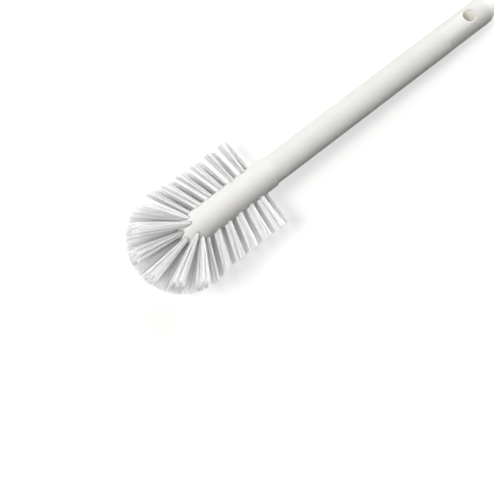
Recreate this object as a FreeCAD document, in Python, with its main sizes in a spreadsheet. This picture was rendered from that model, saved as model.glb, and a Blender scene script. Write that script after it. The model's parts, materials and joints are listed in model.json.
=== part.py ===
import FreeCAD, Part
import math
import os

import Sketcher

# A dish brush: a round handle, a round head block and tufts of nylon filament.
# Lengths are millimetres and angles degrees.
# The working frame has its origin at the centre of the block's domed nose,
# +X along the axis to the handle's end, Y across the fan of tufts and +Z out of the bare top side.
# At the end the brush is turned to lie as it rests, on its lowest tufts and the handle's end.

Vector = FreeCAD.Vector
AXIS_X = Vector(1, 0, 0)
AXIS_Y = Vector(0, 1, 0)
AXIS_Z = Vector(0, 0, 1)

DRIVING_SIZES = {
    # Handle: a plain round rod with a half-round end
    "handle_diameter": 18,
    "handle_length": 185,
    "hang_hole_diameter": 8,
    "hang_hole_end_distance": 21,
    "hang_hole_clock_angle": 17,
    "hang_hole_edge_round": 0.8,
    # Stepped tang by which the handle sits in the head block
    "spigot_diameter": 13,
    "spigot_length": 6,
    "tang_diameter": 6,
    "tang_length": 28,
    "tang_tip_chamfer": 0.8,
    "joint_clearance": 0.1,
    # Head block: a round barrel with a half-round nose and a crisp collar
    "head_diameter": 19.8,
    "barrel_length": 60,
    "collar_edge_chamfer": 0.4,
    # Tuft holes: a tuft narrows to its foot and opens with a steady flare, wider round the nose
    "tuft_hole_depth": 5,
    "tuft_foot_diameter": 2.4,
    "side_flare_angle": 4,
    "nose_flare_angle": 6,
    "tuft_clearance": 0.1,
    "hole_mouth_overrun": 4.5,
    # Band of tufts: two staggered rows along both sides and round the nose
    "nose_tuft_pitch": 3.3,
    "bare_collar_length": 9.5,
    "last_tip_setback": 0.7,
    "row_root_lift_angle": 15,
    "row_tip_lift_angle": 11,
    # Rings above and below the band: high and low tufts by turns, fanned from two points of the middle plane
    "ring_fan_setback": 7,
    "ring_high_rise": 5.6,
    "ring_low_rise": 2.8,
    "ring_high_tip_lift_angle": 34,
    "ring_low_tip_lift_angle": 27,
    # Trimmed outline of the tufts: a ball ahead of the nose and a barrel along the sides
    "nose_trim_radius": 34.5,
    "nose_trim_offset": 8,
    "side_trim_radius": 32.3,
    # Flat wire anchors that the tufts are folded over
    "anchor_thickness": 0.4,
    "anchor_height": 1.6,
    "anchor_seat_height": 0.9,
    "anchor_clearance": 0.05,
}

# Steps of tufts from the nose's middle round to its side, and the tufts along one side
NOSE_STEPS = 6
SIDE_TUFTS = 12

# Passes that level the resting brush
LEVELLING_PASSES = 5

doc = FreeCAD.newDocument("DishBrush")
sheet = doc.addObject("Spreadsheet::Sheet", "Sizes")
for row, (alias, value) in enumerate(DRIVING_SIZES.items(), start=1):
    sheet.set(f"A{row}", alias)
    sheet.set(f"B{row}", str(value))
    sheet.setAlias(f"B{row}", alias)
doc.recompute()


def size(expression):
    """Give the value of an expression in the sheet's named sizes."""
    return float(sheet.evalExpression(expression))


def bound(expression):
    """Write an expression the way other objects have to, with the sheet's name before each named size."""
    words = expression.split(" ")
    return " ".join(f"Sizes.{word}" if word in DRIVING_SIZES else word for word in words)


def bind(item, **expressions):
    """Tie an object's properties to expressions in the named sizes."""
    for name, expression in expressions.items():
        item.setExpression(name, bound(expression))


def origin_plane(body, role):
    """Find one of a body's own origin planes by its role."""
    return next(plane for plane in body.Origin.OriginFeatures if plane.Role == role)


def new_sketch(body, name):
    """Make a sketch on the body's own XY plane."""
    sketch = body.newObject("Sketcher::SketchObject", name)
    sketch.AttachmentSupport = [(origin_plane(body, "XY_Plane"), "")]
    sketch.MapMode = "FlatFace"
    return sketch


def tie_point(sketch, geometry, end, across, up):
    """Hold a point of a sketch at two expressions, measured from the origin, or zero for on the axis."""
    for kind, expression, axis in (("DistanceX", across, -2), ("DistanceY", up, -1)):
        if expression == "0":
            sketch.addConstraint(Sketcher.Constraint("PointOnObject", geometry, end, axis))
            continue
        index = sketch.addConstraint(Sketcher.Constraint(kind, -1, 1, geometry, end, size(expression)))
        sketch.setExpression(f"Constraints[{index}]", bound(expression))


def draw_outline(sketch, corners, round_edges):
    """Draw a closed outline, anticlockwise, through corners given as expressions.

    A round edge is an arc about a point of the X axis, given as that point's expression.
    """
    places = [Vector(size(across), size(up), 0) for across, up in corners]
    count = len(places)
    for index, start in enumerate(places):
        finish = places[(index + 1) % count]
        if index in round_edges:
            centre = Vector(size(round_edges[index]), 0, 0)
            circle = Part.Circle(centre, AXIS_Z, (start - centre).Length)
            turns = [math.atan2(point.y, point.x) for point in (start - centre, finish - centre)]
            sketch.addGeometry(Part.ArcOfCircle(circle, *turns), False)
        else:
            sketch.addGeometry(Part.LineSegment(start, finish), False)
    for index, (across, up) in enumerate(corners):
        sketch.addConstraint(Sketcher.Constraint("Coincident", index, 2, (index + 1) % count, 1))
        tie_point(sketch, index, 1, across, up)
    for index in round_edges:
        sketch.addConstraint(Sketcher.Constraint("PointOnObject", index, 3, -1))


def revolve(body, sketch, name):
    """Turn a sketch once round the body's X axis."""
    turned = body.newObject("PartDesign::Revolution", name)
    turned.Profile = sketch
    turned.ReferenceAxis = (sketch, ["H_Axis"])
    turned.Angle = 360
    sketch.Visibility = False
    return turned


# Handle: local X runs from the tip of its tang
TANG_REACH = "tang_length + spigot_length"
HANDLE_END = f"{TANG_REACH} + handle_length"
HANDLE_RADIUS = "handle_diameter / 2"
SPIGOT_RADIUS = "spigot_diameter / 2"
TANG_RADIUS = "tang_diameter / 2"


def bore_mouths(shape, bore_radius):
    """Name the edges where a bore along Z breaks through a rod's round surface."""
    mouths = []
    for number, edge in enumerate(shape.Edges, start=1):
        surfaces = [face.Surface for face in shape.ancestorsOfType(edge, Part.Face)]
        radii = [surface.Radius for surface in surfaces if hasattr(surface, "Radius")]
        on_bore = [math.isclose(radius, bore_radius) for radius in radii]
        if sorted(on_bore) == [False, True]:
            mouths.append(f"Edge{number}")
    return mouths


def make_handle():
    """Turn the handle with its tang, bore the hang hole and round its two mouths."""
    body = doc.addObject("PartDesign::Body", "Handle")
    profile = new_sketch(body, "HandleProfile")
    corners = [
        ("0", "0"),
        (HANDLE_END, "0"),
        (f"{HANDLE_END} - {HANDLE_RADIUS}", HANDLE_RADIUS),
        (TANG_REACH, HANDLE_RADIUS),
        (TANG_REACH, SPIGOT_RADIUS),
        ("tang_length", SPIGOT_RADIUS),
        ("tang_length", TANG_RADIUS),
        ("tang_tip_chamfer", TANG_RADIUS),
        ("0", f"{TANG_RADIUS} - tang_tip_chamfer"),
    ]
    draw_outline(profile, corners, {1: f"{HANDLE_END} - {HANDLE_RADIUS}"})
    rod = revolve(body, profile, "HandleRod")
    doc.recompute()

    circle = new_sketch(body, "HangHoleCircle")
    hole_place = f"{HANDLE_END} - hang_hole_end_distance"
    middle = Vector(size(hole_place), 0, 0)
    circle.addGeometry(Part.Circle(middle, AXIS_Z, size("hang_hole_diameter / 2")), False)
    tie_point(circle, 0, 3, hole_place, "0")
    width = circle.addConstraint(Sketcher.Constraint("Diameter", 0, size("hang_hole_diameter")))
    circle.setExpression(f"Constraints[{width}]", bound("hang_hole_diameter"))
    bore = body.newObject("PartDesign::Pocket", "HangHole")
    bore.Profile = circle
    bore.Type = "ThroughAll"
    bore.Midplane = True
    circle.Visibility = False
    doc.recompute()
    if bore.Shape.Volume >= rod.Shape.Volume:
        raise RuntimeError("the hang hole cut nothing")

    rounding = body.newObject("PartDesign::Fillet", "HangHoleEdges")
    rounding.Base = (bore, bore_mouths(bore.Shape, size("hang_hole_diameter / 2")))
    bind(rounding, Radius="hang_hole_edge_round")
    collar_to_tang = size("barrel_length") - size(TANG_REACH)
    clock = FreeCAD.Rotation(AXIS_X, -size("hang_hole_clock_angle"))
    body.Placement = FreeCAD.Placement(Vector(collar_to_tang, 0, 0), clock)
    return body


# Head block: local X runs from the tip of its nose
HEAD_RADIUS = "head_diameter / 2"
HEAD_END = f"{HEAD_RADIUS} + barrel_length"
SPIGOT_SOCKET_RADIUS = f"{SPIGOT_RADIUS} + joint_clearance"
TANG_SOCKET_RADIUS = f"{TANG_RADIUS} + joint_clearance"
SPIGOT_FLOOR = f"{HEAD_END} - spigot_length - joint_clearance"
TANG_FLOOR = f"{HEAD_END} - spigot_length - tang_length - joint_clearance"


def make_blank():
    """Turn the head block with its socket, before the tuft holes are drilled."""
    body = doc.addObject("PartDesign::Body", "HeadBlank")
    profile = new_sketch(body, "HeadProfile")
    corners = [
        ("0", "0"),
        (TANG_FLOOR, "0"),
        (TANG_FLOOR, TANG_SOCKET_RADIUS),
        (SPIGOT_FLOOR, TANG_SOCKET_RADIUS),
        (SPIGOT_FLOOR, SPIGOT_SOCKET_RADIUS),
        (HEAD_END, SPIGOT_SOCKET_RADIUS),
        (HEAD_END, f"{HEAD_RADIUS} - collar_edge_chamfer"),
        (f"{HEAD_END} - collar_edge_chamfer", HEAD_RADIUS),
        (HEAD_RADIUS, HEAD_RADIUS),
    ]
    draw_outline(profile, corners, {len(corners) - 1: HEAD_RADIUS})
    revolve(body, profile, "HeadBarrel")
    body.Placement = FreeCAD.Placement(Vector(-size(HEAD_RADIUS), 0, 0), FreeCAD.Rotation())
    return body


# Places of the tufts: each is a root on the block's surface and a tip on the trimmed outline


def on_ball(radius, turn, lift):
    """Give a point of a ball, turned from the nose towards +Y and lifted towards +Z, in degrees."""
    turn, lift = math.radians(turn), math.radians(lift)
    level = radius * math.cos(lift)
    return Vector(-level * math.cos(turn), level * math.sin(turn), radius * math.sin(lift))


def side_share(place):
    """Give how far along the side a place of the band is, from 0 at its first tuft to 1 at its last."""
    return (place - NOSE_STEPS) / (SIDE_TUFTS - 1)


def band_root(place, lift):
    """Give a root of the band: evenly round the nose, then evenly along the barrel to its bare collar."""
    radius = size(HEAD_RADIUS)
    dome_length = radius * math.pi / 2
    along = size("nose_tuft_pitch") * min(place, NOSE_STEPS)
    if place > NOSE_STEPS:
        last = dome_length + size("barrel_length - bare_collar_length")
        along += (last - along) * side_share(place)
    if along < dome_length:
        return on_ball(radius, math.degrees(along / radius), lift)
    return on_ball(radius, 90, lift) + AXIS_X * (along - dome_length)


FAN_STEP_ANGLE = 90 / NOSE_STEPS


def trim_radius(reach):
    """Give the trimmed outline's radius at a reach behind its ball's centre: the ball's or the barrel's."""
    ball, barrel = size("nose_trim_radius"), size("side_trim_radius")
    if ball**2 - reach**2 > barrel**2:
        return math.sqrt(ball**2 - reach**2)
    return barrel


def band_tip(place, lift):
    """Give a tip of the band: the nose tufts share a quarter turn, and the side tufts step on from there."""
    centre = Vector(-size("nose_trim_offset"), 0, 0)
    if place <= NOSE_STEPS:
        return centre + on_ball(size("nose_trim_radius"), FAN_STEP_ANGLE * place, lift)
    last = size("nose_trim_offset + barrel_length - bare_collar_length - last_tip_setback")
    reach = last * side_share(place)
    return centre + on_ball(trim_radius(reach), 90, lift) + AXIS_X * reach


def way_out(start, direction):
    """Give the point where a ray from inside the head block leaves its surface."""
    radius = size(HEAD_RADIUS)
    across = Vector(0, direction.y, direction.z)
    offset = Vector(0, start.y, start.z)
    for ray, origin in ((across, offset), (direction, start)):
        half = ray.dot(origin)
        square = ray.dot(ray)
        reach = (math.sqrt(half**2 - square * (origin.dot(origin) - radius**2)) - half) / square
        leaves = start + direction * reach
        if leaves.x >= 0:
            break
    return leaves


def ring_root_and_tip(place, sign):
    """Give a tuft of the ring above the band, or below it for a negative sign, low and high ones by turns."""
    level = "high" if place // 2 % 2 else "low"
    lift = sign * size(f"ring_{level}_tip_lift_angle")
    tip = on_ball(size("nose_trim_radius"), FAN_STEP_ANGLE * place, lift)
    tip = tip - AXIS_X * size("nose_trim_offset")
    fan_point = Vector(size("ring_fan_setback"), 0, sign * size(f"ring_{level}_rise"))
    return way_out(fan_point, tip - fan_point), tip


def left_half_places():
    """Give the tufts from the nose's middle round to the left side, with each one's root and tip.

    The band's even places are in its upper row. A ring's tuft stands over or under each gap in a row.
    """
    places = {}
    for place in range(NOSE_STEPS + SIDE_TUFTS):
        sign = -1 if place % 2 else 1
        root = band_root(place, sign * size("row_root_lift_angle"))
        tip = band_tip(place, sign * size("row_tip_lift_angle"))
        number = (place - NOSE_STEPS) // 2 + 1
        row = "lower" if place % 2 else "upper"
        name = f"nose_left_{place}" if place < NOSE_STEPS else f"left_{row}_{number}"
        places[name] = root, tip
        if place < NOSE_STEPS:
            ring = "top" if place % 2 else "bottom"
            places[f"nose_{ring}_left_{(place + 1) // 2}"] = ring_root_and_tip(place, -sign)
    return places


def mirror(point):
    """Mirror a point in the brush's upright middle plane."""
    return Vector(point.x, -point.y, point.z)


def tuft_places():
    """Give every tuft's name with its root and its tip, the right half mirrored from the left."""
    places = {}
    for name, (root, tip) in left_half_places().items():
        if name.endswith("_0"):
            places["tuft_" + name.replace("left_0", "centre")] = root, tip
            continue
        places[f"tuft_{name}"] = root, tip
        places["tuft_" + name.replace("left", "right")] = mirror(root), mirror(tip)
    return places


# Tufts, their holes and their anchors share one axis and one taper
FOOT_RADIUS = "tuft_foot_diameter / 2"
HOLE_FOOT_RADIUS = f"{FOOT_RADIUS} + tuft_clearance"
HOLE_LENGTH = "tuft_hole_depth + hole_mouth_overrun"
STOCK_LENGTH = "2 * nose_trim_radius"
ANCHOR_WIDTH = "tuft_foot_diameter + 2 * tuft_clearance - 2 * anchor_clearance"
SLOT_WIDTH = f"{ANCHOR_WIDTH} + 2 * anchor_height"


def foot_placement(root, tip):
    """Stand a tuft's own Z axis on the floor of its hole, pointing out along the tuft."""
    way = (tip - root).normalize()
    return FreeCAD.Placement(root - way * size("tuft_hole_depth"), FreeCAD.Rotation(AXIS_Z, way))


def make_cone(name, foot, foot_radius, length):
    """Make a flared cone on a tuft's axis, by a name that tells the nose's tufts from the sides'."""
    flare = "tan( nose_flare_angle )" if "nose" in name else "tan( side_flare_angle )"
    cone = doc.addObject("Part::Cone", name)
    bind(cone, Radius1=foot_radius, Height=length, Radius2=f"{foot_radius} + ( {length} ) * {flare}")
    cone.Placement = foot
    return cone


def make_plate(name, foot, width, room):
    """Make a flat plate across a tuft's axis, at the anchor's height, with room added on its faces."""
    plate = doc.addObject("Part::Box", name)
    bind(plate, Length=width, Width=f"anchor_thickness + 2 * {room}", Height=f"anchor_height + 2 * {room}")
    half_thickness = size(f"anchor_thickness / 2 + {room}")
    corner = Vector(-size(width) / 2, -half_thickness, size(f"anchor_seat_height - {room}"))
    plate.Placement = foot.multiply(FreeCAD.Placement(corner, FreeCAD.Rotation()))
    return plate


def make_trim():
    """Make the space that the tufts are trimmed to: a ball round the nose and a barrel along the sides."""
    ball = doc.addObject("Part::Sphere", "TrimBall")
    bind(ball, Radius="nose_trim_radius")
    centre = Vector(-size("nose_trim_offset"), 0, 0)
    ball.Placement = FreeCAD.Placement(centre, FreeCAD.Rotation())
    barrel = doc.addObject("Part::Cylinder", "TrimBarrel")
    bind(barrel, Radius="side_trim_radius", Height="nose_trim_offset + barrel_length + handle_length")
    barrel.Placement = FreeCAD.Placement(centre, FreeCAD.Rotation(AXIS_Z, AXIS_X))
    trim = doc.addObject("Part::Fuse", "Trim")
    trim.Base = ball
    trim.Tool = barrel
    return trim


def make_tuft(label, foot, trim):
    """Make one tuft: a flared bundle, slotted for its anchor and trimmed flush."""
    bundle = make_cone(f"{label}_bundle", foot, FOOT_RADIUS, STOCK_LENGTH)
    slot = make_plate(f"{label}_slot", foot, SLOT_WIDTH, "anchor_clearance")
    folded = doc.addObject("Part::Cut", f"{label}_folded")
    folded.Base = bundle
    folded.Tool = slot
    tuft = doc.addObject("Part::Common", label)
    tuft.Base = folded
    tuft.Tool = trim
    return tuft


def make_anchors(label, feet):
    """Make a group of anchors, one in each tuft of a list."""
    group = doc.addObject("Part::Compound", label)
    group.Links = [make_plate(f"{label}_{name}", foot, ANCHOR_WIDTH, "0") for name, foot in feet.items()]
    return group


def drill(blank, feet):
    """Cut every tuft's hole out of the head block."""
    holes = doc.addObject("Part::MultiFuse", "TuftHoles")
    holes.Shapes = [
        make_cone(f"{name}_hole", foot, HOLE_FOOT_RADIUS, HOLE_LENGTH) for name, foot in feet.items()
    ]
    block = doc.addObject("Part::Cut", "head_block")
    block.Base = blank
    block.Tool = holes
    return block


def box_of(pieces, placement):
    """Give the box round some pieces once they are moved by a placement."""
    box = FreeCAD.BoundBox()
    for piece in pieces:
        shape = piece.Shape.copy()
        shape.Placement = placement.multiply(shape.Placement)
        box.add(shape.optimalBoundingBox())
    return box


def resting_turn(handle, low_tufts):
    """Find the turn about Y that brings the handle's end and the lowest tufts to one level."""
    lean = 0
    span = size("barrel_length + handle_length")
    for _ in range(LEVELLING_PASSES):
        leaning = FreeCAD.Placement(Vector(), FreeCAD.Rotation(AXIS_Y, lean))
        rise = box_of([handle], leaning).ZMin - box_of(low_tufts, leaning).ZMin
        lean += math.degrees(rise / span)
    return FreeCAD.Rotation(AXIS_Y, lean)


def stand(pieces, turn):
    """Turn all pieces as the brush rests, and put the middle of its underside at the origin."""
    box = box_of(pieces, FreeCAD.Placement(Vector(), turn))
    rest = FreeCAD.Placement(Vector(-box.Center.x, -box.Center.y, -box.ZMin), turn)
    for piece in pieces:
        piece.Placement = rest.multiply(piece.Placement)
    doc.recompute()


def check(pieces):
    """Stop if anything failed to build."""
    failed = [item.Label for item in doc.Objects if {"Invalid", "Error"} & set(item.State)]
    for piece in pieces:
        if piece.Shape.isNull() or not piece.Shape.isValid():
            failed.append(piece.Label)
    if failed:
        raise RuntimeError(f"failed to build: {failed}")


def write(pieces):
    """Write each piece to a file of its own name."""
    os.makedirs("parts", exist_ok=True)
    for piece in pieces:
        piece.Shape.exportStep(f"parts/{piece.Label}.step")


def main():
    """Build the brush piece by piece, stand it and write it."""
    places = tuft_places()
    feet = {name: foot_placement(root, tip) for name, (root, tip) in places.items()}
    nose_feet = {name: foot for name, foot in feet.items() if "nose" in name}
    side_feet = {name: foot for name, foot in feet.items() if "nose" not in name}

    handle = make_handle()
    handle.Label = "handle"
    block = drill(make_blank(), feet)
    trim = make_trim()
    tufts = [make_tuft(name, foot, trim) for name, foot in feet.items()]
    anchors = [
        make_anchors("side_staple_anchors", side_feet),
        make_anchors("nose_staple_anchors", nose_feet),
    ]
    doc.recompute()

    pieces = [handle, block, *tufts, *anchors]
    check(pieces)
    low_tufts = [tuft for tuft in tufts if "nose_bottom" in tuft.Label]
    stand(pieces, resting_turn(handle, low_tufts))
    check(pieces)
    write(pieces)


main()
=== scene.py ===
import json
import logging
import math
from dataclasses import dataclass, field
from enum import Enum

import bmesh
import bpy
import numpy as np
from mathutils import Matrix, Vector


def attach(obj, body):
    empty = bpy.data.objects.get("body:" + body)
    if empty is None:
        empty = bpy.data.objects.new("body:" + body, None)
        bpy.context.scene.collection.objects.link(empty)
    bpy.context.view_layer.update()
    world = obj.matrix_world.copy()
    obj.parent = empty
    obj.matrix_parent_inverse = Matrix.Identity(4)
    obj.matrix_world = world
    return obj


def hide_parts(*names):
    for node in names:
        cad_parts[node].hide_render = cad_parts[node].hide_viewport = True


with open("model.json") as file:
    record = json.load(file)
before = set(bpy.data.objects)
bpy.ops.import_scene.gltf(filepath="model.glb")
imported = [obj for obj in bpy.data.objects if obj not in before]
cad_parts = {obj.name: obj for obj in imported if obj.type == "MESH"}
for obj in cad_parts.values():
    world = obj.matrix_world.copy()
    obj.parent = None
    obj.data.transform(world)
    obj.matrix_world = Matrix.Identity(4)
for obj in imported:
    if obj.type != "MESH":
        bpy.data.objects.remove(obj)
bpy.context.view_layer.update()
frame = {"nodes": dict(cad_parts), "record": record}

# A white dish brush: moulded handle, moulded head block and tufts of nylon filament.
# Lengths are in metres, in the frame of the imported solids, unless a name ends in mm.

LOG = logging.getLogger("dish_brush")
MM = 0.001
BODY = "root"
GRIP_MOUNT = "handle_grip"
HOLE_MOUNT = "hang_hole"
WHITE = "#FFFFFF"

# The attribute that tells one filament of a tuft from the next.
STRAND = "strand"

# The turn from one seed of a flower head to the next, which spreads points evenly over a disc.
GOLDEN_TURN = math.pi * (3 - math.sqrt(5))

# Points of a solid's mesh that lie this near each other are one point.
SAME_POINT = 0.001 * MM

# The decimals of a metre to which points are rounded before equal ones are taken as one.
POINT_DECIMALS = 8


def linear(code: str) -> tuple[float, float, float, float]:
    """Turn an sRGB hex colour into the linear colour that shaders take.

    Args:
        code: The colour as six hex digits, with or without a leading hash.

    Returns:
        The linear red, green and blue, and an alpha of one.
    """
    digits = code.lstrip("#")
    shares = [int(digits[at:at + 2], 16) / 255 for at in (0, 2, 4)]
    red, green, blue = (s / 12.92 if s <= 0.04045 else ((s + 0.055) / 1.055) ** 2.4 for s in shares)
    return red, green, blue, 1.0


def add_node(tree: bpy.types.NodeTree, kind: str, inputs: dict | None = None,
             **settings: object) -> bpy.types.Node:
    """Add a node with its settings, and link or fill its inputs.

    Args:
        tree: The tree that gets the node.
        kind: The node's type name.
        inputs: For an input's name or number, the socket to link to it or the value it takes.
        settings: The node's own properties.

    Returns:
        The new node.
    """
    node = tree.nodes.new(kind)
    for name, value in settings.items():
        setattr(node, name, value)
    for key, value in (inputs or {}).items():
        if isinstance(value, bpy.types.NodeSocket):
            tree.links.new(value, node.inputs[key])
        else:
            node.inputs[key].default_value = value
    return node


def new_material(name: str) -> tuple[bpy.types.Material, bpy.types.NodeTree, bpy.types.Node]:
    """Start a node material.

    Args:
        name: The material's name.

    Returns:
        The material, its tree and its main shader.
    """
    material = bpy.data.materials.new(name)
    material.use_nodes = True
    tree = material.node_tree
    return material, tree, tree.nodes["Principled BSDF"]


class Slot(Enum):
    """The names of the record's material slots."""

    HANDLE = "handle_polypropylene"
    BLOCK = "block_polypropylene"
    BRISTLE = "bristle_nylon"


@dataclass(frozen=True)
class RoundMount:
    """A round mount of the record: the handle's straight grip, or the hang hole through it."""

    middle: Vector
    way: Vector
    radius: float
    length: float

    @classmethod
    def from_record(cls, record: dict, name: str) -> "RoundMount":
        """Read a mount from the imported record.

        Args:
            record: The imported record.
            name: The mount's name.

        Returns:
            The mount's axis and sizes.
        """
        mount = next(mount for mount in record["mounts"] if mount["name"] == name)
        sizes = mount["dims"]
        return cls(Vector(mount["pos_m"]), Vector(mount["axis"]).normalized(),
                   sizes["r_mm"] * MM, sizes["length_mm"] * MM)

    def at(self, distance: float) -> Vector:
        """Give the point of the axis at a distance from the mount's near end."""
        return self.middle + self.way * (distance - self.length / 2)


@dataclass(frozen=True)
class MouldedPolypropylene:
    """Polypropylene moulded in a spark-eroded tool.

    It shows as a waxy, slightly warm white with a soft sheen, a fine matt grain, and faint cloudy
    flow marks where the melt ran along the mould. A bore through it is painted a paler, warmer white
    inside, which is painted light, and light that comes through the plastic round it also shows there.
    """

    name: str
    pale: str
    cloudy: str
    roughness: float
    roughness_swing: float
    # The real grain is finer than a tenth of a millimetre. It is drawn coarser, so that it shows.
    grain_mm: float
    grain_height_mm: float
    grain_detail: float = 2.0
    flow_mm: float = 14.0
    flow_detail: float = 3.0
    flow_swirl: float = 0.6
    ior: float = 1.49
    glow: float = 0.3
    glow_depth_mm: float = 1.2
    glow_depth_shares: tuple[float, float, float] = (1.0, 0.92, 0.8)
    # Painted light: the paler, warmer white that is painted on a bore's wall.
    bore_painted_light: str = "#FCF9F0"
    bore_glow: float = 1.0
    bore_room_mm: float = 0.1

    def inside(self, tree: bpy.types.NodeTree, place: bpy.types.NodeSocket,
               bore: RoundMount) -> bpy.types.NodeSocket:
        """Tell the wall of a bore from the rest of the surface.

        Args:
            tree: The tree that gets the nodes.
            place: The socket with the surface's place.
            bore: The bore.

        Returns:
            A socket that is one on the bore's wall.
        """
        offset = add_node(tree, "ShaderNodeVectorMath", {
            0: place, 1: tuple(bore.middle),
        }, operation="SUBTRACT")
        across = add_node(tree, "ShaderNodeVectorMath", {
            0: offset.outputs[0], 1: tuple(bore.way),
        }, operation="CROSS_PRODUCT")
        distance = add_node(tree, "ShaderNodeVectorMath", {0: across.outputs[0]}, operation="LENGTH")
        return add_node(tree, "ShaderNodeMath", {
            0: distance.outputs["Value"], 1: bore.radius + self.bore_room_mm * MM,
        }, operation="LESS_THAN").outputs[0]

    def material(self, bore: RoundMount | None = None) -> bpy.types.Material:
        """Build the finish as a node material.

        Args:
            bore: A bore in the piece, whose wall glows with light through the plastic and is painted paler,
                as painted light.

        Returns:
            The material.
        """
        material, tree, shader = new_material(self.name)
        shader.inputs["IOR"].default_value = self.ior
        shader.inputs["Subsurface Weight"].default_value = self.glow
        shader.inputs["Subsurface Radius"].default_value = self.glow_depth_shares
        shader.inputs["Subsurface Scale"].default_value = self.glow_depth_mm * MM
        place = add_node(tree, "ShaderNodeTexCoord").outputs["Object"]
        flow = add_node(tree, "ShaderNodeTexNoise", {
            "Vector": place, "Scale": 1 / (self.flow_mm * MM),
            "Detail": self.flow_detail, "Distortion": self.flow_swirl,
        })
        colour = add_node(tree, "ShaderNodeMix", {
            0: flow.outputs["Fac"], 6: linear(self.pale), 7: linear(self.cloudy),
        }, data_type="RGBA")
        # Painted light: the bore's wall is painted a paler, warmer white, which lifts the shade inside the
        # hole.
        if bore:
            wall = self.inside(tree, place, bore)
            colour = add_node(tree, "ShaderNodeMix", {
                0: wall, 6: colour.outputs[2], 7: linear(self.bore_painted_light),
            }, data_type="RGBA")
            glow = add_node(tree, "ShaderNodeMath", {0: wall, 1: self.bore_glow}, operation="MULTIPLY")
            tree.links.new(glow.outputs[0], shader.inputs["Subsurface Weight"])
        tree.links.new(colour.outputs[2], shader.inputs["Base Color"])
        grain = add_node(tree, "ShaderNodeTexNoise", {
            "Vector": place, "Scale": 1 / (self.grain_mm * MM), "Detail": self.grain_detail,
        })
        sheen = add_node(tree, "ShaderNodeMapRange", {
            "Value": grain.outputs["Fac"],
            "To Min": self.roughness - self.roughness_swing,
            "To Max": self.roughness + self.roughness_swing,
        })
        tree.links.new(sheen.outputs["Result"], shader.inputs["Roughness"])
        bump = add_node(tree, "ShaderNodeBump", {
            "Height": grain.outputs["Fac"], "Distance": self.grain_height_mm * MM, "Strength": 1.0,
        })
        tree.links.new(bump.outputs["Normal"], shader.inputs["Normal"])
        return material


@dataclass(frozen=True)
class DrawnNylon:
    """Clear nylon, drawn through a die into round filament and cut with a blade.

    It shows as milky white threads: light that falls on one side glows through to the other, the
    drawn skin glints in lines along the thread, and no two threads are quite as clear as each other.
    """

    name: str
    milky: str
    clear: str
    roughness: float
    through_share: float
    skin_roughness: float
    roughness_shares: tuple[float, float] = (0.8, 1.2)
    haze_mm: float = 3.0
    haze_detail: float = 2.0
    ior: float = 1.53

    def material(self) -> bpy.types.Material:
        """Build the finish as a node material.

        Returns:
            The material.
        """
        material, tree, shader = new_material(self.name)
        shader.inputs["IOR"].default_value = self.ior
        place = add_node(tree, "ShaderNodeTexCoord").outputs["Object"]
        haze = add_node(tree, "ShaderNodeTexNoise", {
            "Vector": place, "Scale": 1 / (self.haze_mm * MM), "Detail": self.haze_detail,
        })
        strand = add_node(tree, "ShaderNodeAttribute", attribute_name=STRAND)
        clear_share = add_node(tree, "ShaderNodeMath", {
            0: haze.outputs["Fac"], 1: strand.outputs["Fac"],
        }, operation="MULTIPLY")
        colour = add_node(tree, "ShaderNodeMix", {
            0: clear_share.outputs[0], 6: linear(self.milky), 7: linear(self.clear),
        }, data_type="RGBA")
        tree.links.new(colour.outputs[2], shader.inputs["Base Color"])
        smooth, rough = (self.roughness * share for share in self.roughness_shares)
        sheen = add_node(tree, "ShaderNodeMapRange", {
            "Value": haze.outputs["Fac"], "To Min": smooth, "To Max": rough,
        })
        tree.links.new(sheen.outputs["Result"], shader.inputs["Roughness"])
        through = add_node(tree, "ShaderNodeBsdfTranslucent", {"Color": colour.outputs[2]})
        core = add_node(tree, "ShaderNodeMixShader", {
            0: self.through_share, 1: shader.outputs[0], 2: through.outputs[0],
        })
        # The skin glints only on its outer face, so that light inside a thread gets out again.
        edge = add_node(tree, "ShaderNodeFresnel", {"IOR": self.ior})
        within = add_node(tree, "ShaderNodeNewGeometry").outputs["Backfacing"]
        outside = add_node(tree, "ShaderNodeMath", {0: 1.0, 1: within}, operation="SUBTRACT")
        glint_share = add_node(tree, "ShaderNodeMath", {
            0: edge.outputs[0], 1: outside.outputs[0],
        }, operation="MULTIPLY")
        glint = add_node(tree, "ShaderNodeBsdfGlossy", {"Roughness": self.skin_roughness})
        thread = add_node(tree, "ShaderNodeMixShader", {
            0: glint_share.outputs[0], 1: core.outputs[0], 2: glint.outputs[0],
        })
        tree.links.new(thread.outputs[0], tree.nodes["Material Output"].inputs["Surface"])
        return material


@dataclass(frozen=True)
class RolledWire:
    """Nickel-silver wire, rolled flat and cropped into staples.

    It shows as a bright pale metal with a finely mottled sheen from the rolls.
    """

    name: str
    bright: str
    dull: str
    roughness: float
    # The real mottling is finer. It is drawn coarser, so that it shows.
    mottle_mm: float
    mottle_detail: float = 4.0
    roughness_shares: tuple[float, float] = (0.8, 1.3)

    def material(self) -> bpy.types.Material:
        """Build the finish as a node material.

        Returns:
            The material.
        """
        material, tree, shader = new_material(self.name)
        shader.inputs["Metallic"].default_value = 1.0
        place = add_node(tree, "ShaderNodeTexCoord").outputs["Object"]
        mottle = add_node(tree, "ShaderNodeTexNoise", {
            "Vector": place, "Scale": 1 / (self.mottle_mm * MM), "Detail": self.mottle_detail,
        })
        colour = add_node(tree, "ShaderNodeMix", {
            0: mottle.outputs["Fac"], 6: linear(self.bright), 7: linear(self.dull),
        }, data_type="RGBA")
        tree.links.new(colour.outputs[2], shader.inputs["Base Color"])
        smooth, rough = (self.roughness * share for share in self.roughness_shares)
        sheen = add_node(tree, "ShaderNodeMapRange", {
            "Value": mottle.outputs["Fac"], "To Min": smooth, "To Max": rough,
        })
        tree.links.new(sheen.outputs["Result"], shader.inputs["Roughness"])
        return material
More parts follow.
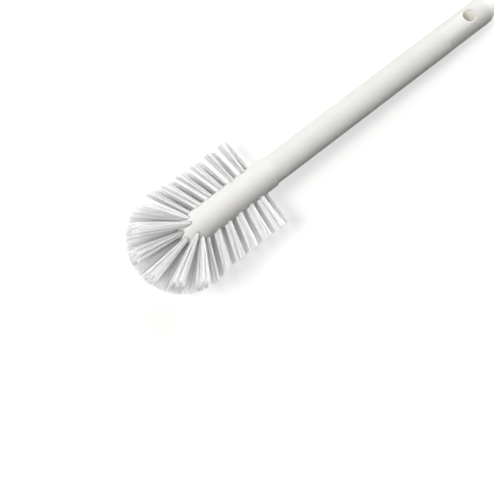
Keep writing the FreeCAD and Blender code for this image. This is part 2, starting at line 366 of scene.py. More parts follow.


# The grip looks chalky and almost without highlights. It glows only in its bore, whose wall is also painted
# pale and warm, as painted light.
GRIP_FINISH = MouldedPolypropylene(
    "polypropylene_moulded_matt_grip", pale="#F0EFEB", cloudy="#EAE9E5",
    roughness=0.66, roughness_swing=0.08, grain_mm=0.35, grain_height_mm=0.012,
    glow=0.0, glow_depth_mm=8.0)
# The block looks smoother than the grip, with a soft broad highlight and softened shade.
BLOCK_FINISH = MouldedPolypropylene(
    "polypropylene_moulded_satin_block", pale="#F1F0EC", cloudy="#EBEAE6",
    roughness=0.6, roughness_swing=0.06, grain_mm=0.3, grain_height_mm=0.006)
# The filaments look bright and milky, and most of what shows in them is light from behind.
FILAMENT_FINISH = DrawnNylon(
    "nylon_drawn_clear_filament", milky="#FEFEFE", clear="#F6F7F6",
    roughness=0.25, through_share=0.8, skin_roughness=0.18)
# The anchors look like pale metal with a soft shine, where they are seen without the block.
WIRE_FINISH = RolledWire(
    "nickel_silver_rolled_wire", bright="#DAD8D2", dull="#B9B7B1", roughness=0.3, mottle_mm=0.15)


def smooth_copy(node: str, name: str, sharp_deg: float) -> bpy.types.Object:
    """Copy a solid's mesh as one closed, smoothly shaded skin with its real edges kept sharp.

    Args:
        node: The solid's node.
        name: The copy's name.
        sharp_deg: The angle between faces from which an edge stays sharp.

    Returns:
        The copy, linked to the scene.
    """
    skin = bmesh.new()
    skin.from_mesh(frame["nodes"][node].data)
    bmesh.ops.remove_doubles(skin, verts=skin.verts, dist=SAME_POINT)
    mesh = bpy.data.meshes.new(name)
    skin.to_mesh(mesh)
    skin.free()
    mesh.shade_smooth()
    mesh.set_sharp_from_angle(angle=math.radians(sharp_deg))
    piece = bpy.data.objects.new(name, mesh)
    bpy.context.scene.collection.objects.link(piece)
    return piece


@dataclass(frozen=True)
class SizedTree:
    """A geometry tree with a named input for each of its sizes."""

    tree: bpy.types.NodeTree
    identifiers: dict[str, str]

    @classmethod
    def start(cls, name: str, kinds: dict[str, str]) -> "SizedTree":
        """Start a tree with a geometry input and output, and an input for each size.

        Args:
            name: The tree's name.
            kinds: Each input's socket type by its name.

        Returns:
            The tree, still to be filled.
        """
        tree = bpy.data.node_groups.new(name, "GeometryNodeTree")
        tree.interface.new_socket("Geometry", in_out="OUTPUT", socket_type="NodeSocketGeometry")
        tree.interface.new_socket("Geometry", in_out="INPUT", socket_type="NodeSocketGeometry")
        identifiers = {}
        for label, kind in kinds.items():
            socket = tree.interface.new_socket(label, in_out="INPUT", socket_type=kind)
            identifiers[label] = socket.identifier
        return cls(tree, identifiers)

    def run(self, piece: bpy.types.Object, sizes: dict[str, object]) -> None:
        """Run the tree on a piece, and keep the result as the piece's plain mesh.

        Args:
            piece: The piece, linked to the scene.
            sizes: Each input's value by its name.
        """
        modifier = piece.modifiers.new(self.tree.name, "NODES")
        modifier.node_group = self.tree
        for label, value in sizes.items():
            modifier[self.identifiers[label]] = value
        bpy.context.view_layer.update()
        graph = bpy.context.evaluated_depsgraph_get()
        mesh = bpy.data.meshes.new_from_object(piece.evaluated_get(graph))
        piece.modifiers.clear()
        piece.data = mesh


@dataclass
class DiamondNodes:
    """The nodes that lay staggered rings of small flat-topped diamonds round the rod."""

    tree: bpy.types.NodeTree
    sizes: bpy.types.NodeOutputs = field(init=False)

    def __post_init__(self) -> None:
        """Read the tree's sizes."""
        self.sizes = add_node(self.tree, "NodeGroupInput").outputs

    def turn_and_row(self) -> tuple[bpy.types.NodeSocket, bpy.types.NodeSocket]:
        """Count the diamonds round the rod, ring after ring, with every other ring turned half a step.

        Returns:
            Each diamond's share of a full turn, and the number of its ring.
        """
        tree, around = self.tree, self.sizes["Around"]
        index = add_node(tree, "GeometryNodeInputIndex").outputs[0]
        rings = add_node(tree, "ShaderNodeMath", {0: index, 1: around}, operation="DIVIDE")
        row = add_node(tree, "ShaderNodeMath", {0: rings.outputs[0]}, operation="FLOOR")
        column = add_node(tree, "ShaderNodeMath", {0: rings.outputs[0]}, operation="FRACT")
        odd = add_node(tree, "ShaderNodeMath", {0: row.outputs[0], 1: 2.0}, operation="MODULO")
        half_step = add_node(tree, "ShaderNodeMath", {0: 0.5, 1: around}, operation="DIVIDE")
        turn = add_node(tree, "ShaderNodeMath", {
            0: odd.outputs[0], 1: half_step.outputs[0], 2: column.outputs[0],
        }, operation="MULTIPLY_ADD")
        return turn.outputs[0], row.outputs[0]

    def normal(self, turn: bpy.types.NodeSocket) -> bpy.types.NodeSocket:
        """Give the rod's outward direction at a share of a full turn.

        Args:
            turn: The share of a full turn.

        Returns:
            The direction.
        """
        tree = self.tree
        angle = add_node(tree, "ShaderNodeMath", {0: turn, 1: 2 * math.pi}, operation="MULTIPLY")
        cosine = add_node(tree, "ShaderNodeMath", {0: angle.outputs[0]}, operation="COSINE")
        sine = add_node(tree, "ShaderNodeMath", {0: angle.outputs[0]}, operation="SINE")
        outward = add_node(tree, "ShaderNodeCombineXYZ", {0: cosine.outputs[0], 1: sine.outputs[0]})
        upright = add_node(tree, "FunctionNodeAlignRotationToVector", {
            "Vector": self.sizes["Axis"],
        }, axis="Z")
        return add_node(tree, "FunctionNodeRotateVector", {
            "Vector": outward.outputs[0], "Rotation": upright.outputs[0],
        }).outputs[0]

    def place(self, row: bpy.types.NodeSocket, normal: bpy.types.NodeSocket) -> bpy.types.NodeSocket:
        """Give a diamond's place on the rod.

        Args:
            row: The number of its ring.
            normal: The rod's outward direction there.

        Returns:
            The place.
        """
        tree, sizes = self.tree, self.sizes
        reach = add_node(tree, "ShaderNodeMath", {0: row, 1: sizes["Row Step"]}, operation="MULTIPLY")
        along = add_node(tree, "ShaderNodeVectorMath", {
            0: sizes["Axis"], "Scale": reach.outputs[0],
        }, operation="SCALE")
        ring = add_node(tree, "ShaderNodeVectorMath", {
            0: along.outputs[0], 1: sizes["Collar"],
        }, operation="ADD")
        out = add_node(tree, "ShaderNodeVectorMath", {
            0: normal, "Scale": sizes["Rod Radius"],
        }, operation="SCALE")
        return add_node(tree, "ShaderNodeVectorMath", {
            0: ring.outputs[0], 1: out.outputs[0],
        }, operation="ADD").outputs[0]

    def fill(self) -> None:
        """Fill the tree: the piece's own mesh with a diamond at each place."""
        tree, sizes = self.tree, self.sizes
        turn, row = self.turn_and_row()
        normal = self.normal(turn)
        count = add_node(tree, "ShaderNodeMath", {
            0: sizes["Rows"], 1: sizes["Around"],
        }, operation="MULTIPLY")
        points = add_node(tree, "GeometryNodePoints", {
            "Count": count.outputs[0], "Position": self.place(row, normal),
        })
        stand = add_node(tree, "FunctionNodeAlignRotationToVector", {"Vector": normal}, axis="Z")
        square = add_node(tree, "FunctionNodeAlignRotationToVector", {
            "Rotation": stand.outputs[0], "Vector": sizes["Axis"],
        }, axis="X", pivot_axis="Z")
        diamond = add_node(tree, "GeometryNodeMeshCone", {
            "Vertices": sizes["Corners"], "Radius Top": sizes["Top Radius"],
            "Radius Bottom": sizes["Foot Radius"], "Depth": sizes["Diamond Depth"],
        })
        copies = add_node(tree, "GeometryNodeInstanceOnPoints", {
            "Points": points.outputs[0], "Instance": diamond.outputs["Mesh"],
            "Rotation": square.outputs[0],
        })
        diamonds = add_node(tree, "GeometryNodeRealizeInstances", {0: copies.outputs[0]})
        whole = add_node(tree, "GeometryNodeJoinGeometry", {0: sizes["Geometry"]})
        tree.links.new(diamonds.outputs[0], whole.inputs[0])
        dressed = add_node(tree, "GeometryNodeSetMaterial", {
            "Geometry": whole.outputs[0], "Material": sizes["Plastic"],
        })
        add_node(tree, "NodeGroupOutput", {0: dressed.outputs[0]})


@dataclass
class Handle:
    """The moulded handle: the solid's own shape with a diamond grip raised on its rod."""

    axis: RoundMount
    hole: RoundMount
    finish: MouldedPolypropylene = GRIP_FINISH
    node: str = "handle"
    name: str = "handle_moulding"
    sharp_deg: float = 35.0
    grip_start: float = 0.6 * MM
    grip_end: float = 143.0 * MM
    diamond_pitch: float = 1.4 * MM
    diamond_height: float = 0.15 * MM
    diamond_top_share: float = 0.25
    diamond_corners: int = 4
    sunk: float = 0.03 * MM

    def build(self) -> bpy.types.Object:
        """Copy the solid's skin and raise the grip on it.

        Returns:
            The finished handle.
        """
        piece = smooth_copy(self.node, self.name, self.sharp_deg)
        around = round(2 * math.pi * self.axis.radius / self.diamond_pitch)
        row_step = self.diamond_pitch / 2
        rows = int((self.grip_end - self.grip_start) / row_step)
        foot_radius = self.diamond_pitch / 2
        sizes = {
            "Collar": ("NodeSocketVector", tuple(self.axis.at(self.grip_start))),
            "Axis": ("NodeSocketVector", tuple(self.axis.way)),
            "Rod Radius": ("NodeSocketFloat", self.axis.radius - self.sunk),
            "Row Step": ("NodeSocketFloat", row_step),
            "Rows": ("NodeSocketInt", rows),
            "Around": ("NodeSocketInt", around),
            "Corners": ("NodeSocketInt", self.diamond_corners),
            "Foot Radius": ("NodeSocketFloat", foot_radius),
            "Top Radius": ("NodeSocketFloat", foot_radius * self.diamond_top_share),
            "Diamond Depth": ("NodeSocketFloat", self.diamond_height + self.sunk),
            "Plastic": ("NodeSocketMaterial", self.finish.material(self.hole)),
        }
        grip = SizedTree.start("raised_diamond_grip", {label: kind for label, (kind, _) in sizes.items()})
        DiamondNodes(grip.tree).fill()
        grip.run(piece, {label: value for label, (_, value) in sizes.items()})
        LOG.info("%s: %d rows of %d diamonds", self.name, rows, around)
        return piece

    def place(self) -> None:
        """Build the handle and put it in for its solid."""
        piece = self.build()
        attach(piece, BODY)
        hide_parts(self.node)


@dataclass
class HeadBlock:
    """The moulded head block: the solid's own shape as one smooth skin."""

    axis: RoundMount
    finish: MouldedPolypropylene = BLOCK_FINISH
    node: str = "head_block"
    name: str = "head_block_moulding"
    sharp_deg: float = 35.0
    skin_room: float = 0.02 * MM

    def round_skin(self, mesh: bpy.types.Mesh) -> None:
        """Shade the barrel and the domed nose as truly round, between the tuft holes too.

        Args:
            mesh: The block's mesh, which gets the round surface's own normals.
        """
        collar, way = np.array(self.axis.at(0.0)), np.array(self.axis.way)
        offsets = np.array([vertex.co for vertex in mesh.vertices]) - collar
        reach = offsets @ way
        radius = np.linalg.norm(offsets - np.outer(reach, way), axis=1).max()
        # The nose is a half ball, so its middle lies one radius back from its tip.
        dome = reach.min() + radius
        out = offsets - np.outer(np.maximum(reach, dome), way)
        distance = np.linalg.norm(out, axis=1)
        on_skin = np.abs(distance - radius) < self.skin_room
        normals = [corner.vector.copy() for corner in mesh.corner_normals]
        for face in mesh.polygons:
            if all(on_skin[corner] for corner in face.vertices):
                for loop, corner in zip(face.loop_indices, face.vertices):
                    normals[loop] = Vector(out[corner] / distance[corner])
        mesh.normals_split_custom_set(normals)

    def place(self) -> None:
        """Build the block and put it in for its solid."""
        piece = smooth_copy(self.node, self.name, self.sharp_deg)
        self.round_skin(piece.data)
        piece.data.materials.append(self.finish.material())
        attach(piece, BODY)
        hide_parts(self.node)
        LOG.info("%s: %d faces", self.name, len(piece.data.polygons))


class TuftZone(Enum):
    """Where a tuft stands on the block."""

    SIDE = "side"
    NOSE = "nose"


@dataclass(frozen=True)
class TuftForm:
    """The flared solid that one tuft fills, measured on its own mesh."""

    foot: Vector
    way: Vector
    foot_radius: float
    flare: float
    length: float

    @staticmethod
    def on_foot(points: np.ndarray, foot_depth: float) -> np.ndarray:
        """Find the foot of a tuft's solid, which is the narrow end of its longest stretch.

        Args:
            points: The solid's points.
            foot_depth: A depth that holds all of the foot's rim and nothing above it.

        Returns:
            For each point, whether it is on the foot.
        """
        offsets = points - points.mean(axis=0)
        longest = np.linalg.svd(offsets, full_matrices=False)[2][0]
        heights = offsets @ longest
        across = np.linalg.norm(offsets - np.outer(heights, longest), axis=1)
        low_end = heights < heights.min() + foot_depth
        high_end = heights > heights.max() - foot_depth
        return high_end if across[low_end].max() > across[high_end].max() else low_end

    @classmethod
    def measure(cls, node: bpy.types.Object, foot_depth: float) -> "TuftForm":
        """Measure a tuft's solid: its flat foot gives the axis, and its far half the flare.

        Args:
            node: The tuft's solid.
            foot_depth: A depth that holds all of the foot's rim and nothing above it.

        Returns:
            The tuft's form.
        """
        points = np.array([vertex.co for vertex in node.data.vertices])
        on_foot = cls.on_foot(points, foot_depth)
        normals = [face.normal * face.area for face in node.data.polygons
                   if all(on_foot[corner] for corner in face.vertices)]
        way = -sum(normals, Vector()).normalized()
        rim = np.unique(points[on_foot].round(POINT_DECIMALS), axis=0)
        foot = Vector(rim.mean(axis=0))
        foot_radius = float(np.linalg.norm(rim - np.array(foot), axis=1).mean())
        offsets = points - np.array(foot)
        heights = offsets @ np.array(way)
        across = np.linalg.norm(offsets - np.outer(heights, np.array(way)), axis=1)
        length = float(heights.max())
        far = heights > length / 2
        flare = float(((across[far] - foot_radius) / heights[far]).max())
        return cls(foot, way, foot_radius, flare, length)

    def at(self, height: float) -> Vector:
        """Give the point of the tuft's axis at a height above its foot."""
        return self.foot + self.way * height

    def radius(self, height: float) -> float:
        """Give the tuft's radius at a height above its foot."""
        return self.foot_radius + height * self.flare


@dataclass
class FilamentNodes:
    """The nodes that grow a tuft's filaments from a packed round root to the trimmed end of its form."""

    tree: bpy.types.NodeTree
    sizes: bpy.types.NodeOutputs = field(init=False)
    index: bpy.types.NodeSocket = field(init=False)
    turn: bpy.types.NodeSocket = field(init=False)

    def __post_init__(self) -> None:
        """Read the tree's sizes, and find the turn that stands the tuft along its way."""
        self.sizes = add_node(self.tree, "NodeGroupInput").outputs
        self.index = add_node(self.tree, "GeometryNodeInputIndex").outputs[0]
        self.turn = add_node(self.tree, "FunctionNodeAlignRotationToVector", {
            "Vector": self.sizes["Way"],
        }, axis="Z").outputs[0]

    def disc(self, total: bpy.types.NodeSocket) -> bpy.types.NodeSocket:
        """Spread points evenly over a unit disc, as the seeds in a flower head lie.

        Args:
            total: The number of points.

        Returns:
            Each point's place on the disc.
        """
        tree = self.tree
        middle = add_node(tree, "ShaderNodeMath", {0: self.index, 1: 0.5}, operation="ADD")
        share = add_node(tree, "ShaderNodeMath", {0: middle.outputs[0], 1: total}, operation="DIVIDE")
        out = add_node(tree, "ShaderNodeMath", {0: share.outputs[0]}, operation="SQRT")
        spin = add_node(tree, "ShaderNodeMath", {
            0: self.index, 1: GOLDEN_TURN, 2: self.sizes["Seed"],
        }, operation="MULTIPLY_ADD")
        cosine = add_node(tree, "ShaderNodeMath", {0: spin.outputs[0]}, operation="COSINE")
        sine = add_node(tree, "ShaderNodeMath", {0: spin.outputs[0]}, operation="SINE")
        ray = add_node(tree, "ShaderNodeCombineXYZ", {0: cosine.outputs[0], 1: sine.outputs[0]})
        return add_node(tree, "ShaderNodeVectorMath", {
            0: ray.outputs[0], "Scale": out.outputs[0],
        }, operation="SCALE").outputs[0]

    def clumped(self, seat: bpy.types.NodeSocket) -> bpy.types.NodeSocket:
        """Pull places on the unit disc towards the nearest of a few clumps.

        Args:
            seat: The places.

        Returns:
            The pulled places.
        """
        tree, sizes = self.tree, self.sizes
        middles = add_node(tree, "GeometryNodePoints", {
            "Count": sizes["Clumps"], "Position": self.disc(sizes["Clumps"]),
        })
        nearest = add_node(tree, "GeometryNodeSampleNearest", {
            "Geometry": middles.outputs[0], "Sample Position": seat,
        }, domain="POINT")
        position = add_node(tree, "GeometryNodeInputPosition").outputs[0]
        clump = add_node(tree, "GeometryNodeSampleIndex", {
            "Geometry": middles.outputs[0], "Value": position, "Index": nearest.outputs[0],
        }, data_type="FLOAT_VECTOR", domain="POINT")
        return add_node(tree, "ShaderNodeMix", {
            0: sizes["Clump Pull"], 4: seat, 5: clump.outputs[0],
        }, data_type="VECTOR").outputs[1]

    def across(self, flat: bpy.types.NodeSocket, radius: str, middle: str) -> bpy.types.NodeSocket:
        """Put places on the unit disc across the tuft, about a point of its axis.

        Args:
            flat: The places on the disc.
            radius: The input with the tuft's radius there.
            middle: The input with the point.

        Returns:
            The places across the tuft.
        """
        tree, sizes = self.tree, self.sizes
        wide = add_node(tree, "ShaderNodeVectorMath", {0: flat, "Scale": sizes[radius]}, operation="SCALE")
        turned = add_node(tree, "FunctionNodeRotateVector", {
            "Vector": wide.outputs[0], "Rotation": self.turn,
        })
        return add_node(tree, "ShaderNodeVectorMath", {
            0: turned.outputs[0], 1: sizes[middle],
        }, operation="ADD").outputs[0]

    def tip(self, root: bpy.types.NodeSocket, aim: bpy.types.NodeSocket) -> bpy.types.NodeSocket:
        """End each filament at the skin of the tuft's form, some a little short of it.

        Args:
            root: The filaments' roots.
            aim: The places that they point at.

        Returns:
            The filaments' tips.
        """
        tree, sizes = self.tree, self.sizes
        run = add_node(tree, "ShaderNodeVectorMath", {0: aim, 1: root}, operation="SUBTRACT")
        way = add_node(tree, "ShaderNodeVectorMath", {0: run.outputs[0]}, operation="NORMALIZE")
        form = add_node(tree, "GeometryNodeObjectInfo", {
            "Object": sizes["Form"],
        }, transform_space="ORIGINAL")
        trim = add_node(tree, "GeometryNodeRaycast", {
            "Target Geometry": form.outputs["Geometry"], "Source Position": root,
            "Ray Direction": way.outputs[0], "Ray Length": sizes["Trim Reach"],
        })
        short = add_node(tree, "FunctionNodeRandomValue", {
            2: 0.0, 3: sizes["Ragged"], "ID": self.index, "Seed": sizes["Seed"],
        }, data_type="FLOAT")
        reach = add_node(tree, "ShaderNodeMath", {
            0: trim.outputs["Hit Distance"], 1: short.outputs[1],
        }, operation="SUBTRACT")
        span = add_node(tree, "ShaderNodeVectorMath", {
            0: way.outputs[0], "Scale": reach.outputs[0],
        }, operation="SCALE")
        return add_node(tree, "ShaderNodeVectorMath", {
            0: root, 1: span.outputs[0],
        }, operation="ADD").outputs[0]

    def bow(self) -> bpy.types.NodeSocket:
        """Give each filament a small bow of its own, square to the tuft's axis.

        Returns:
            The bow's direction and size.
        """
        tree, most = self.tree, self.sizes["Bow"]
        least = add_node(tree, "ShaderNodeMath", {0: most, 1: -1.0}, operation="MULTIPLY")
        low = add_node(tree, "ShaderNodeCombineXYZ", {0: least.outputs[0], 1: least.outputs[0]})
        high = add_node(tree, "ShaderNodeCombineXYZ", {0: most, 1: most})
        sway = add_node(tree, "FunctionNodeRandomValue", {
            0: low.outputs[0], 1: high.outputs[0], "ID": self.index, "Seed": self.sizes["Seed"],
        }, data_type="FLOAT_VECTOR")
        return add_node(tree, "FunctionNodeRotateVector", {
            "Vector": sway.outputs[0], "Rotation": self.turn,
        }).outputs[0]

    def threads(self) -> bpy.types.NodeSocket:
        """Lay a thin line along each filament.

        Returns:
            The lines.
        """
        tree, sizes = self.tree, self.sizes
        seat = self.disc(sizes["Filaments"])
        root = self.across(seat, "Start Radius", "Start")
        aim = self.across(self.clumped(seat), "Finish Radius", "Finish")
        ends = {"root": root, "tip": self.tip(root, aim), "bow": self.bow()}
        seeds = add_node(tree, "GeometryNodePoints", {"Count": sizes["Filaments"]}).outputs[0]
        for label, value in ends.items():
            seeds = add_node(tree, "GeometryNodeStoreNamedAttribute", {
                "Geometry": seeds, "Name": label, "Value": value,
            }, data_type="FLOAT_VECTOR", domain="POINT").outputs[0]
        tone = add_node(tree, "FunctionNodeRandomValue", {
            2: 0.0, 3: 1.0, "ID": self.index, "Seed": sizes["Seed"],
        }, data_type="FLOAT")
        seeds = add_node(tree, "GeometryNodeStoreNamedAttribute", {
            "Geometry": seeds, "Name": STRAND, "Value": tone.outputs[1],
        }, data_type="FLOAT", domain="POINT").outputs[0]
        unit = add_node(tree, "GeometryNodeCurvePrimitiveLine", {"End": (0.0, 0.0, 1.0)})
        fine = add_node(tree, "GeometryNodeResampleCurve", {
            "Curve": unit.outputs[0], "Count": sizes["Rings"],
        })
        copies = add_node(tree, "GeometryNodeInstanceOnPoints", {
            "Points": seeds, "Instance": fine.outputs[0],
        })
        lines = add_node(tree, "GeometryNodeRealizeInstances", {0: copies.outputs[0]})
        stored = {label: add_node(tree, "GeometryNodeInputNamedAttribute", {
            "Name": label,
        }, data_type="FLOAT_VECTOR").outputs[0] for label in ends}
        factor = add_node(tree, "GeometryNodeSplineParameter").outputs["Factor"]
        straight = add_node(tree, "ShaderNodeMix", {
            0: factor, 4: stored["root"], 5: stored["tip"],
        }, data_type="VECTOR")
        left = add_node(tree, "ShaderNodeMath", {0: 1.0, 1: factor}, operation="SUBTRACT")
        hump = add_node(tree, "ShaderNodeMath", {0: left.outputs[0], 1: factor}, operation="MULTIPLY")
        belly = add_node(tree, "ShaderNodeVectorMath", {
            0: stored["bow"], "Scale": hump.outputs[0],
        }, operation="SCALE")
        place = add_node(tree, "ShaderNodeVectorMath", {
            0: straight.outputs[1], 1: belly.outputs[0],
        }, operation="ADD")
        return add_node(tree, "GeometryNodeSetPosition", {
            "Geometry": lines.outputs[0], "Position": place.outputs[0],
        }).outputs[0]

    def fill(self) -> None:
        """Fill the tree: a round filament with cut ends along each line."""
        tree, sizes = self.tree, self.sizes
        ring = add_node(tree, "GeometryNodeCurvePrimitiveCircle", {
            "Resolution": sizes["Sides"], "Radius": sizes["Filament Radius"],
        })
        tubes = add_node(tree, "GeometryNodeCurveToMesh", {
            "Curve": self.threads(), "Profile Curve": ring.outputs[0], "Fill Caps": True,
        })
        bundle = add_node(tree, "GeometryNodeRealizeInstances", {0: tubes.outputs[0]})
        dressed = add_node(tree, "GeometryNodeSetMaterial", {
            "Geometry": bundle.outputs[0], "Material": sizes["Nylon"],
        })
        add_node(tree, "NodeGroupOutput", {0: dressed.outputs[0]})


@dataclass
class Tufts:
    """All the tufts: bundles of straight-cut filament that fill the solids' flared forms."""

    finish: DrawnNylon = FILAMENT_FINISH
    prefix: str = "tuft_"
    new_prefix: str = "bristles_"
    foot_depth: float = 0.25 * MM
    start_height: float = 2.7 * MM
    filament_radius: float = 0.15 * MM
    filaments: dict[TuftZone, int] = field(
        default_factory=lambda: {TuftZone.SIDE: 64, TuftZone.NOSE: 84})
    sides: int = 5
    rings: int = 5
    clumps: int = 6
    clump_pull: dict[TuftZone, float] = field(
        default_factory=lambda: {TuftZone.SIDE: 0.3, TuftZone.NOSE: 0.35})
    bow: float = 0.3 * MM
    ragged: float = 0.3 * MM
    edge_room: float = 0.05 * MM
    trim_reach: float = 1000.0 * MM

    @staticmethod
    def start_tree() -> SizedTree:
        """Start the tree that grows every tuft, and fill it.

        Returns:
            The tree.
        """
        bundle = SizedTree.start("filament_bundle", {
            "Start": "NodeSocketVector",
            "Finish": "NodeSocketVector",
            "Way": "NodeSocketVector",
            "Start Radius": "NodeSocketFloat",
            "Finish Radius": "NodeSocketFloat",
            "Filaments": "NodeSocketInt",
            "Filament Radius": "NodeSocketFloat",
            "Sides": "NodeSocketInt",
            "Rings": "NodeSocketInt",
            "Clumps": "NodeSocketInt",
            "Clump Pull": "NodeSocketFloat",
            "Bow": "NodeSocketFloat",
            "Ragged": "NodeSocketFloat",
            "Trim Reach": "NodeSocketFloat",
            "Seed": "NodeSocketInt",
            "Form": "NodeSocketObject",
            "Nylon": "NodeSocketMaterial",
        })
        FilamentNodes(bundle.tree).fill()
        return bundle

    def sizes(self, node: str, seed: int, material: bpy.types.Material) -> dict[str, object]:
        """Gather what the tree needs for one tuft.

        Args:
            node: The tuft's node.
            seed: The tuft's own seed.
            material: The filaments' material.

        Returns:
            Each input's value by its name.
        """
        zone = TuftZone.NOSE if TuftZone.NOSE.value in node else TuftZone.SIDE
        solid = frame["nodes"][node]
        form = TuftForm.measure(solid, self.foot_depth)
        return {
            "Start": tuple(form.at(self.start_height)),
            "Finish": tuple(form.at(form.length)),
            "Way": tuple(form.way),
            "Start Radius": form.radius(self.start_height) - self.filament_radius - self.edge_room,
            "Finish Radius": form.radius(form.length) - self.filament_radius - self.edge_room,
            "Filaments": self.filaments[zone],
            "Filament Radius": self.filament_radius,
            "Sides": self.sides,
            "Rings": self.rings,
            "Clumps": self.clumps,
            "Clump Pull": self.clump_pull[zone],
            "Bow": self.bow,
            "Ragged": self.ragged,
            "Trim Reach": self.trim_reach,
            "Seed": seed,
            "Form": solid,
            "Nylon": material,
        }

    def place(self) -> None:
        """Build each tuft and put it in for its solid."""
        material = self.finish.material()
        bundle = self.start_tree()
        nodes = sorted(name for name in frame["nodes"] if name.startswith(self.prefix))
        for seed, node in enumerate(nodes, start=1):
            name = node.replace(self.prefix, self.new_prefix)
            piece = bpy.data.objects.new(name, bpy.data.meshes.new(name))
            bpy.context.scene.collection.objects.link(piece)
            bundle.run(piece, self.sizes(node, seed, material))
            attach(piece, BODY)
            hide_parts(node)
            LOG.info("%s: %d faces", piece.name, len(piece.data.polygons))


@dataclass
class Anchors:
    """The staple anchors at the tufts' feet, which keep their solids."""

    finish: RolledWire = WIRE_FINISH
    nodes: tuple[str, ...] = ("side_staple_anchors", "nose_staple_anchors")

    def dress(self) -> None:
        """Give the anchors their wire finish."""
        material = self.finish.material()
        for node in self.nodes:
            for slot in frame["nodes"][node].material_slots:
                slot.material = material
            LOG.info("%s: dressed", node)


@dataclass(frozen=True)
class Lamp:
    """One soft white panel light."""

    name: str
    place_mm: tuple[float, float, float]
    side_mm: float
    watts: float


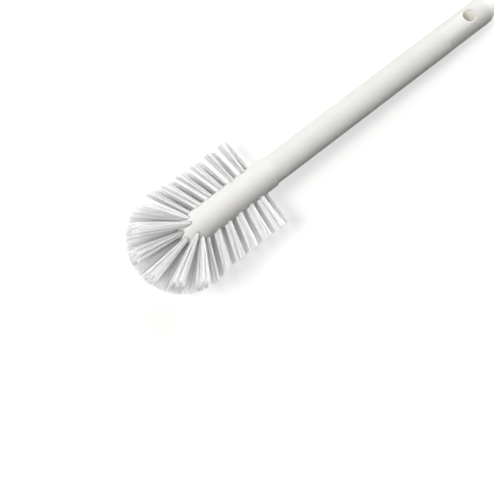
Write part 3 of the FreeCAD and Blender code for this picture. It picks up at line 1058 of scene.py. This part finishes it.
@dataclass
class Studio:
    """The floor, the lights and the camera."""

    aim_mm: tuple[float, float, float] = (0.0, 0.0, 15.0)
    lamps: tuple[Lamp, ...] = (
        Lamp("high_panel", place_mm=(-1050.0, 620.0, 1650.0), side_mm=700.0, watts=28.4),
        Lamp("low_panel", place_mm=(800.0, 1240.0, 1060.0), side_mm=1000.0, watts=10.6),
        Lamp("edge_panel", place_mm=(2600.0, 300.0, 440.0), side_mm=800.0, watts=52.0),
    )
    world_strength: float = 0.03
    # The floor is lifted to white for the rays that show it, and more so far away, where less light falls.
    floor_lift: float = 0.62
    far_floor_lift: float = 1.0
    fade_start_mm: float = 250.0
    fade_end_mm: float = 1200.0
    floor_size_mm: float = 6000.0
    floor_colour: str = "#BDBDBB"
    floor_roughness: float = 0.9
    frame_height_px: int = 500
    focal_px: float = 795.8
    sensor_mm: float = 36.0
    nearest_mm: float = 10.0
    farthest_mm: float = 20000.0
    eye_mm: tuple[float, float, float] = (-122.25, -16.91, 507.87)
    look: tuple[float, float, float] = (0.08279, -0.02653, -0.99621)
    up: tuple[float, float, float] = (0.60784, 0.79352, 0.02938)

    @staticmethod
    def background_rays(tree: bpy.types.NodeTree) -> bpy.types.NodeSocket:
        """Tell the rays that show the background, straight or by gloss or glass, from those that light.

        Args:
            tree: The tree that gets the nodes.

        Returns:
            A socket that is one for the rays that show the background.
        """
        path = add_node(tree, "ShaderNodeLightPath").outputs
        shown = add_node(tree, "ShaderNodeMath", {
            0: path["Is Camera Ray"], 1: path["Is Glossy Ray"],
        }, operation="MAXIMUM")
        return add_node(tree, "ShaderNodeMath", {
            0: shown.outputs[0], 1: path["Is Transmission Ray"],
        }, operation="MAXIMUM").outputs[0]

    def hang_lamps(self) -> None:
        """Hang the panel lights and turn them to the brush."""
        for lamp in self.lamps:
            data = bpy.data.lights.new(lamp.name, "AREA")
            data.size = lamp.side_mm * MM
            data.energy = lamp.watts
            panel = bpy.data.objects.new(lamp.name, data)
            place = Vector(lamp.place_mm) * MM
            turn = (Vector(self.aim_mm) * MM - place).to_track_quat("-Z", "Y")
            panel.matrix_world = Matrix.LocRotScale(place, turn, None)
            bpy.context.scene.collection.objects.link(panel)

    def room(self) -> None:
        """Set the faint even light of the room, which shows as plain white."""
        world = bpy.data.worlds.new("room")
        world.use_nodes = True
        tree = world.node_tree
        faint = tree.nodes["Background"]
        faint.inputs["Color"].default_value = linear(WHITE)
        faint.inputs["Strength"].default_value = self.world_strength
        seen = add_node(tree, "ShaderNodeBackground", {"Color": linear(WHITE), "Strength": 1.0})
        mix = add_node(tree, "ShaderNodeMixShader", {
            0: self.background_rays(tree), 1: faint.outputs[0], 2: seen.outputs[0],
        })
        tree.links.new(mix.outputs[0], tree.nodes["World Output"].inputs["Surface"])
        bpy.context.scene.world = world

    def paper(self) -> bpy.types.Material:
        """Build the floor's finish: matt paper, which shows as plain white with soft shadows.

        Returns:
            The material.
        """
        material, tree, shader = new_material("paper_matt_pale")
        shader.inputs["Base Color"].default_value = linear(self.floor_colour)
        shader.inputs["Roughness"].default_value = self.floor_roughness
        place = add_node(tree, "ShaderNodeTexCoord").outputs["Object"]
        distance = add_node(tree, "ShaderNodeVectorMath", {0: place}, operation="LENGTH")
        fade = add_node(tree, "ShaderNodeMapRange", {
            "Value": distance.outputs["Value"],
            "From Min": self.fade_start_mm * MM, "From Max": self.fade_end_mm * MM,
            "To Min": self.floor_lift, "To Max": self.far_floor_lift,
        })
        lift = add_node(tree, "ShaderNodeMath", {
            0: self.background_rays(tree), 1: fade.outputs["Result"],
        }, operation="MULTIPLY")
        tree.links.new(lift.outputs[0], shader.inputs["Emission Strength"])
        return material

    def floor(self) -> None:
        """Lay the plain pale floor under the brush."""
        half = self.floor_size_mm * MM / 2
        mesh = bpy.data.meshes.new("floor")
        corners = [(-half, -half, 0.0), (half, -half, 0.0), (half, half, 0.0), (-half, half, 0.0)]
        mesh.from_pydata(corners, [], [(0, 1, 2, 3)])
        mesh.materials.append(self.paper())
        piece = bpy.data.objects.new("floor", mesh)
        bpy.context.scene.collection.objects.link(piece)

    def camera(self) -> None:
        """Set up the camera at the picture's viewing angle."""
        data = bpy.data.cameras.new("camera")
        data.sensor_fit = "VERTICAL"
        data.sensor_height = self.sensor_mm
        data.lens = self.focal_px * self.sensor_mm / self.frame_height_px
        data.clip_start = self.nearest_mm * MM
        data.clip_end = self.farthest_mm * MM
        back = -Vector(self.look).normalized()
        across = Vector(self.up).cross(back).normalized()
        upward = back.cross(across)
        turn = Matrix((across, upward, back)).transposed()
        eye = bpy.data.objects.new("camera", data)
        eye.matrix_world = Matrix.Translation(Vector(self.eye_mm) * MM) @ turn.to_4x4()
        bpy.context.scene.collection.objects.link(eye)
        bpy.context.scene.camera = eye

    def set_up(self) -> None:
        """Set up the whole studio."""
        self.floor()
        self.hang_lamps()
        self.room()
        self.camera()
        bpy.context.scene.view_settings.view_transform = "Standard"


def main() -> None:
    """Build the brush piece by piece, and its studio."""
    logging.basicConfig(level=logging.INFO, format="%(name)s %(message)s")
    axis = RoundMount.from_record(frame["record"], GRIP_MOUNT)
    hole = RoundMount.from_record(frame["record"], HOLE_MOUNT)
    Handle(axis, hole).place()
    HeadBlock(axis).place()
    Tufts().place()
    Anchors().dress()
    Studio().set_up()


if __name__ == "__main__":
    main()
